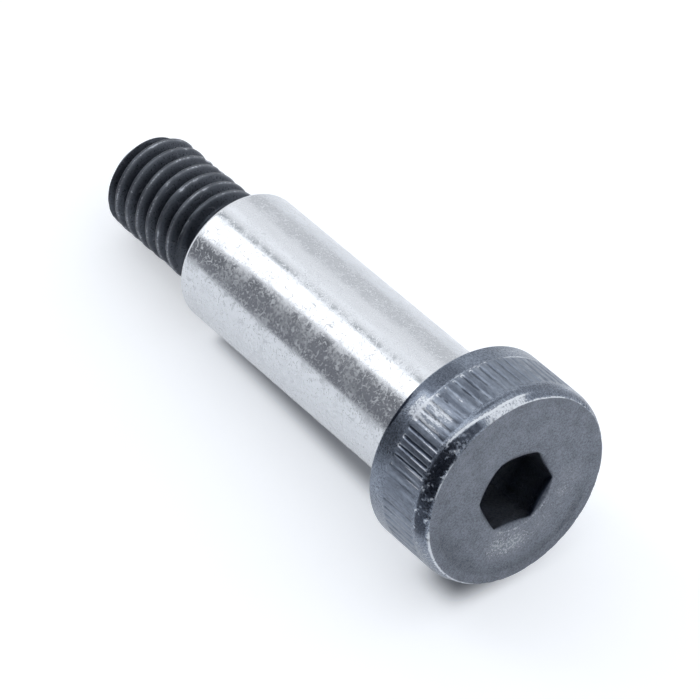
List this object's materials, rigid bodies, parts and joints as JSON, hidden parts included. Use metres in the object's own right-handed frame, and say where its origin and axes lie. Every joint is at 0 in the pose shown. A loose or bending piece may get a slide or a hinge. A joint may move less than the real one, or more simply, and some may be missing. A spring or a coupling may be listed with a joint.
{
  "type": "shoulder bolt",
  "caption": "Socket head shoulder bolt: knurled round head with a hexagon socket, plain ground shoulder and a smaller coarse thread at its end.",
  "frame": {"origin": "centre of the head's flat face, which the bolt stands on", "axes": "+Z along the bolt's axis, from the head's face to the tip of the thread; two corners of the hexagon socket lie on the X axis"},
  "size_m": [0.0188, 0.0188, 0.0545],
  "materials": {
    "black_oxide": "black oxide on alloy steel, matte, worn bright on its edges",
    "ground_steel": "ground bright alloy steel on the shoulder"
  },
  "bodies": {
    "root": {"shoulder_bolt": "black_oxide"}
  },
  "joints": []
}
